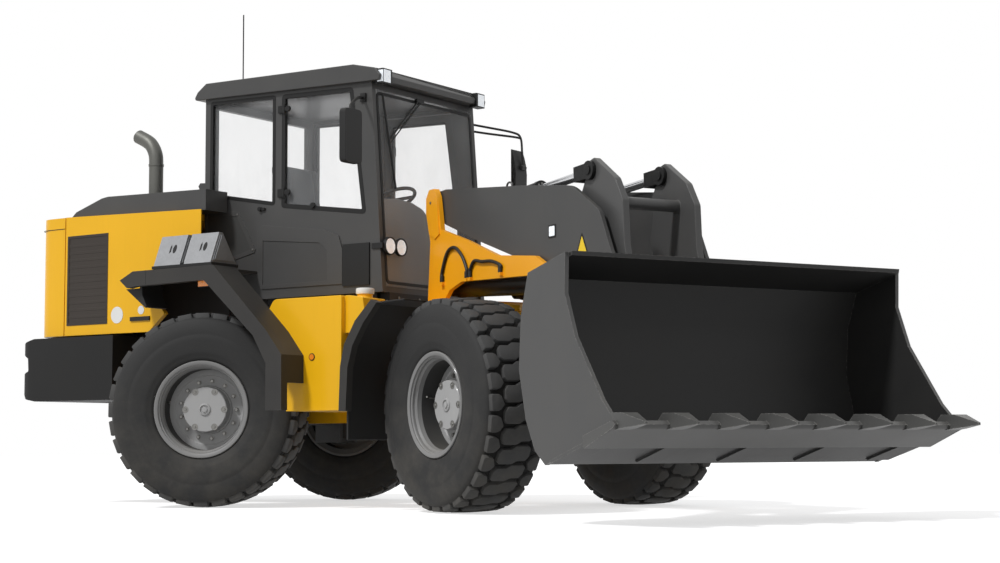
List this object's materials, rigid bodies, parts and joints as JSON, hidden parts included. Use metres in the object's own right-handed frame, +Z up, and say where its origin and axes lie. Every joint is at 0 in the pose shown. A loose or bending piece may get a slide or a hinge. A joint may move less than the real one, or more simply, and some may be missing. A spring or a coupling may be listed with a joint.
{
  "type": "swing loader",
  "caption": "Wheeled swing loader: rigid chassis with rear engine hood, glazed cab, steered wheels and a boom with toothed bucket on a slewing tower.",
  "frame": {"origin": "centre of the standing area: the middle of the object's box, on the ground", "axes": "+X forward along the chassis, +Y to the machine's left, +Z up"},
  "size_m": [7.9037, 4.2669, 3.8998],
  "materials": {
    "body_yellow": "gloss yellow paint",
    "tower_orange": "gloss orange-yellow paint",
    "dark_paint": "satin dark grey paint",
    "black_plastic": "matt black plastic",
    "black_metal": "satin black paint",
    "galvanised": "galvanised steel",
    "engine_grey": "painted casting",
    "axle_grey": "dark painted casting",
    "rim_grey": "satin grey paint",
    "tyre_black": "black rubber",
    "hose_black": "black hose",
    "clear_glass": "clear glass",
    "seat_fabric": "dark woven fabric",
    "chrome_rod": "hard chrome",
    "lamp": "lamp lens and housing"
  },
  "bodies": {
    "chassis": {"chassis_frame": "body_yellow", "counterweight": "dark_paint", "side_tanks": "body_yellow", "fenders": "dark_paint", "arch_liners": "black_plastic", "wheel_chocks": "galvanised", "engine_block": "engine_grey", "axles": "axle_grey", "cab_shell": "dark_paint", "cab_roof": "dark_paint", "cab_glass": "clear_glass", "cab_trim": "black_plastic", "seat": "seat_fabric", "controls": "black_plastic", "cab_lamps": "lamp", "mirrors": "black_plastic"},
    "hood": {"hood": "body_yellow", "hood_cover": "dark_paint", "exhaust": "black_metal"},
    "rear_panel": {"rear_panel": "body_yellow"},
    "cab_door": {"cab_door": "dark_paint", "door_glass": "clear_glass"},
    "swing_tower": {"swing_tower": "tower_orange", "tower_hoses": "hose_black"},
    "boom": {"boom": "dark_paint"},
    "tilt_levers": {"tilt_levers": "dark_paint"},
    "tilt_links": {"tilt_links": "dark_paint"},
    "bucket": {"bucket": "dark_paint"},
    "lift_barrels": {"lift_barrels": "black_metal"},
    "lift_rods": {"lift_rods": "chrome_rod"},
    "tilt_barrels": {"tilt_barrels": "black_metal"},
    "tilt_rods": {"tilt_rods": "chrome_rod"},
    "knuckle_rr": {"knuckle_rr": "axle_grey"},
    "wheel_rr": {"rim_rr": "rim_grey", "tyre_rr": "tyre_black"},
    "knuckle_rl": {"knuckle_rl": "axle_grey"},
    "wheel_rl": {"rim_rl": "rim_grey", "tyre_rl": "tyre_black"},
    "knuckle_fr": {"knuckle_fr": "axle_grey"},
    "wheel_fr": {"rim_fr": "rim_grey", "tyre_fr": "tyre_black"},
    "knuckle_fl": {"knuckle_fl": "axle_grey"},
    "wheel_fl": {"rim_fl": "rim_grey", "tyre_fl": "tyre_black"}
  },
  "joints": [
    {"name": "steer_rr", "type": "hinge", "parent": "chassis", "child": "knuckle_rr", "pos_m": [-1.9797, -0.0974, 0.722], "axis": [0, 0, 1], "range_deg": [-55, 1]},
    {"name": "spin_rr", "type": "hinge", "parent": "knuckle_rr", "child": "wheel_rr", "pos_m": [-1.85258, -0.34688, 0.722], "axis": [-0.454, 0.891, 0], "continuous": true},
    {"name": "steer_rl", "type": "hinge", "parent": "chassis", "child": "knuckle_rl", "pos_m": [-1.9797, 1.3826, 0.722], "axis": [0, 0, 1], "range_deg": [-55, 1]},
    {"name": "spin_rl", "type": "hinge", "parent": "knuckle_rl", "child": "wheel_rl", "pos_m": [-2.10682, 1.63208, 0.722], "axis": [-0.454, 0.891, 0], "continuous": true},
    {"name": "steer_fr", "type": "hinge", "parent": "chassis", "child": "knuckle_fr", "pos_m": [0.5903, -0.0974, 0.722], "axis": [0, 0, -1], "range_deg": [-51, 5]},
    {"name": "spin_fr", "type": "hinge", "parent": "knuckle_fr", "child": "wheel_fr", "pos_m": [0.4809, -0.35514, 0.722], "axis": [0.3907, 0.9205, 0], "continuous": true},
    {"name": "steer_fl", "type": "hinge", "parent": "chassis", "child": "knuckle_fl", "pos_m": [0.5903, 1.3826, 0.722], "axis": [0, 0, -1], "range_deg": [-51, 5]},
    {"name": "spin_fl", "type": "hinge", "parent": "knuckle_fl", "child": "wheel_fl", "pos_m": [0.6997, 1.64034, 0.722], "axis": [0.3907, 0.9205, 0], "continuous": true},
    {"name": "swing", "type": "hinge", "parent": "chassis", "child": "swing_tower", "pos_m": [-0.0357, 0.6426, 1.48], "axis": [0, 0, 1], "range_deg": [-64, 116]},
    {"name": "boom_lift", "type": "hinge", "parent": "swing_tower", "child": "boom", "pos_m": [-0.06716, 0.65794, 2.222], "axis": [-0.4384, -0.8988, 0], "range_deg": [-5.5, 62]},
    {"name": "bucket_tilt", "type": "hinge", "parent": "boom", "child": "bucket", "pos_m": [2.2023, -0.44894, 0.59], "axis": [0.4384, 0.8988, 0], "range_deg": [0, 70]},
    {"name": "tilt_lever", "type": "hinge", "parent": "boom", "child": "tilt_levers", "pos_m": [2.03153, -0.36565, 1.459], "axis": [0.4384, 0.8988, 0], "range_deg": [-42, 0]},
    {"name": "tilt_link", "type": "hinge", "parent": "tilt_levers", "child": "tilt_links", "pos_m": [1.77447, -0.24028, 1.2], "axis": [0.4384, 0.8988, 0], "range_deg": [0, 36.26]},
    {"name": "tilt_barrel", "type": "hinge", "parent": "boom", "child": "tilt_barrels", "pos_m": [0.09912, 0.57684, 2.11], "axis": [0.4384, 0.8988, 0], "range_deg": [0, 14.24]},
    {"name": "tilt_rod", "type": "slide", "parent": "tilt_barrels", "child": "tilt_rods", "axis": [0.8974, -0.4377, 0.0553], "range_m": [-0.43445, 0]},
    {"name": "lift_barrel", "type": "hinge", "parent": "swing_tower", "child": "lift_barrels", "pos_m": [0.01823, 0.6163, 1.6], "axis": [-0.4384, -0.8988, 0], "range_deg": [-5.08, 57.29]},
    {"name": "lift_rod", "type": "slide", "parent": "lift_barrels", "child": "lift_rods", "axis": [0.8975, -0.4377, -0.0539], "range_m": [-0.05721, 0.64493]},
    {"name": "hood_lift", "type": "hinge", "parent": "chassis", "child": "hood", "pos_m": [-2.3067, 0.6426, 2.485], "axis": [0, 1, 0], "range_deg": [0, 50]},
    {"name": "rear_panel_open", "type": "hinge", "parent": "hood", "child": "rear_panel", "pos_m": [-3.4857, 1.5986, 1.8], "axis": [0, 0, -1], "range_deg": [0, 95]},
    {"name": "cab_door_open", "type": "hinge", "parent": "chassis", "child": "cab_door", "pos_m": [-1.4317, 1.3396, 2.3], "axis": [0, 0, 1], "range_deg": [0, 95]}
  ],
  "couplings": [
    {"joint": "steer_fl", "follows": "steer_fr", "ratio": 1},
    {"joint": "steer_rl", "follows": "steer_rr", "ratio": 1},
    {"joint": "tilt_lever", "follows": "bucket_tilt", "ratio": -0.6},
    {"joint": "tilt_link", "follows": "bucket_tilt", "ratio": 0.518},
    {"joint": "tilt_barrel", "follows": "bucket_tilt", "ratio": 0.2035},
    {"joint": "tilt_rod", "follows": "bucket_tilt", "m_per_rad": -0.3556},
    {"joint": "lift_barrel", "follows": "boom_lift", "ratio": 0.924},
    {"joint": "lift_rod", "follows": "boom_lift", "m_per_rad": 0.596}
  ]
}
